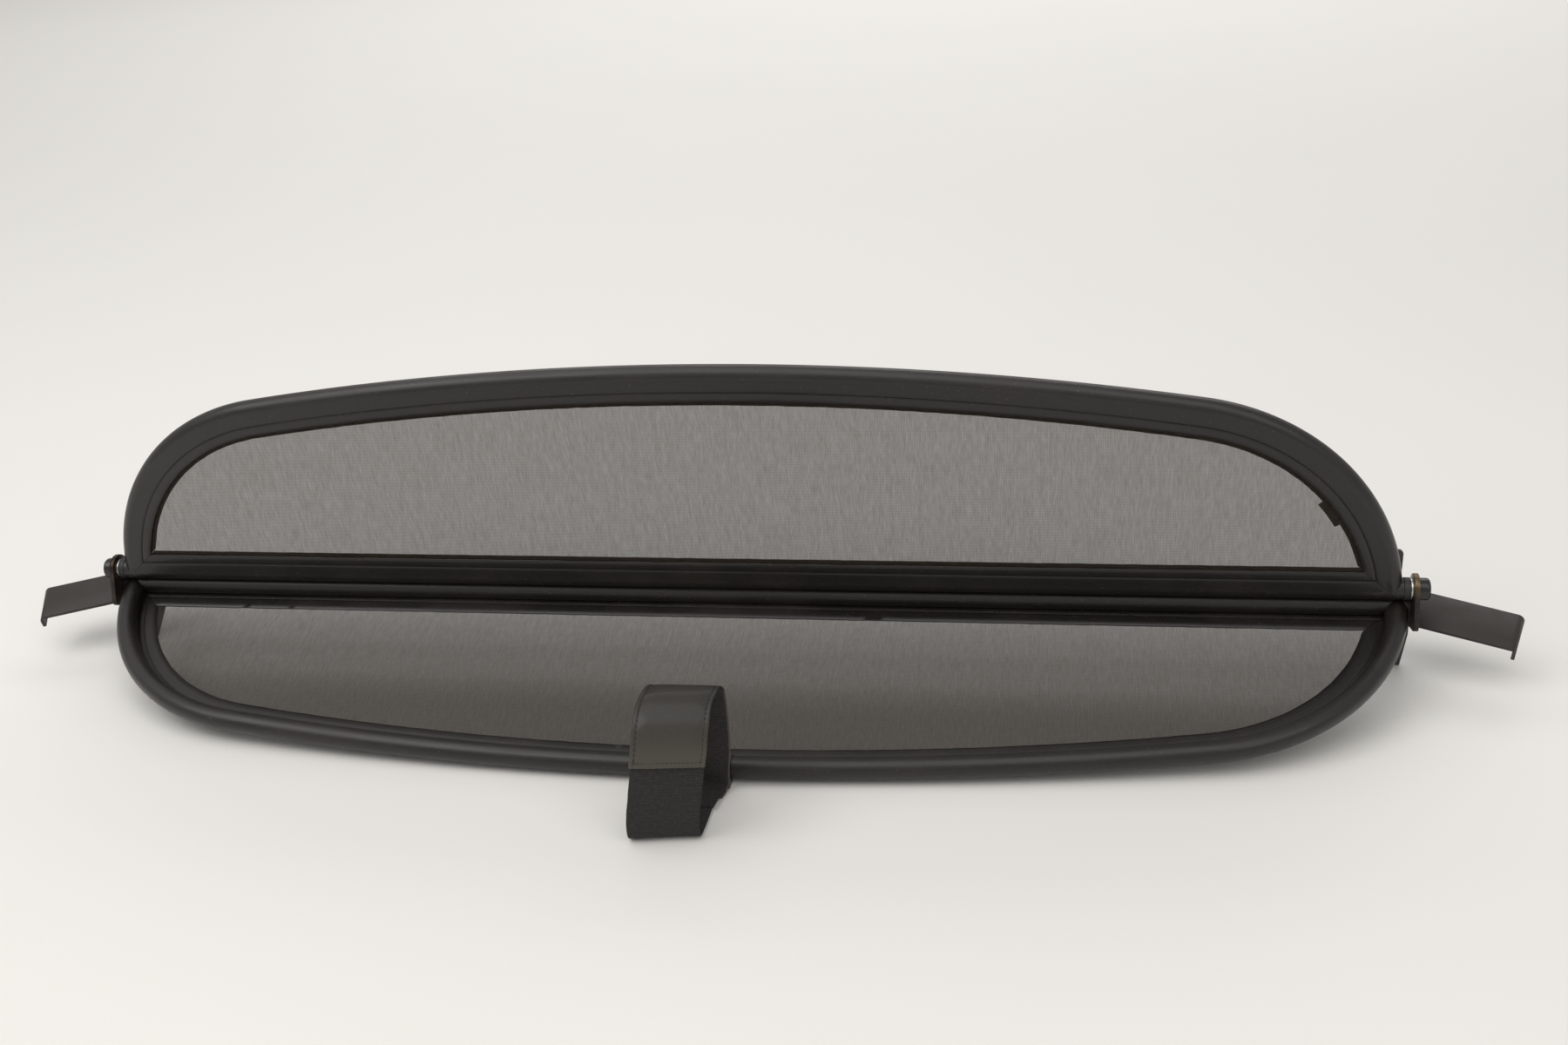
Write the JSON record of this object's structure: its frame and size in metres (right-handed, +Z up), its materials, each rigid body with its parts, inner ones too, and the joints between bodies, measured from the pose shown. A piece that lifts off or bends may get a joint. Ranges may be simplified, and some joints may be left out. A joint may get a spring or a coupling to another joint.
{
  "type": "convertible wind deflector",
  "caption": "Folding convertible wind deflector: two leatherette-wrapped bow frames with net, hinged along their rails, with side arms, legs and a fastening strap.",
  "frame": {"origin": "on the floor under the middle of the whole deflector, opened as in the picture", "axes": "+X along the rails towards the end with the hold tab, +Y towards the back, behind the upright frame, +Z up"},
  "size_m": [1.3454, 0.324, 0.2888],
  "materials": {
    "tube_steel": "drawn steel tube, hidden in its cover",
    "leatherette": "finely grained black leatherette with a soft sheen",
    "net_fabric": "fine black knitted net, partly see-through",
    "ear_steel": "worn, brownish passivated steel",
    "painted_steel": "satin black paint, scuffed",
    "plated_washer": "bright zinc plating",
    "bolt_steel": "plain zinc-plated steel",
    "cap_plastic": "glossy black plastic",
    "bush_plastic": "matt black plastic",
    "webbing": "black hook-and-loop webbing",
    "strap_leatherette": "grained black leatherette with a stitched edge",
    "tape": "black woven tape"
  },
  "bodies": {
    "lower_frame": {"lower_bow_tube": "tube_steel", "lower_rail_tube": "tube_steel", "lower_bow_cover": "leatherette", "lower_rail_cover": "leatherette", "lower_net": "net_fabric", "right_pivot_ear": "ear_steel", "left_pivot_ear": "ear_steel", "right_leg_plate": "painted_steel", "left_leg_plate": "painted_steel", "right_arm": "painted_steel", "left_arm": "painted_steel", "right_washer": "plated_washer", "left_washer": "plated_washer", "strap_rail_wrap": "strap_leatherette", "strap_leather": "strap_leatherette", "strap_webbing": "webbing"},
    "upper_frame": {"upper_bow_tube": "tube_steel", "upper_rail_tube": "tube_steel", "upper_bow_cover": "leatherette", "upper_rail_cover": "leatherette", "upper_net": "net_fabric", "right_end_bush": "bush_plastic", "left_end_bush": "bush_plastic", "right_pivot_bolt": "bolt_steel", "left_pivot_bolt": "bolt_steel", "right_bolt_cap": "cap_plastic", "left_bolt_cap": "cap_plastic", "hold_tab": "tape"}
  },
  "joints": [
    {"name": "fold_hinge", "type": "hinge", "parent": "lower_frame", "child": "upper_frame", "pos_m": [0, 0.1122, 0.08196], "axis": [1, 0, 0], "range_deg": [-13, 99.6]}
  ]
}
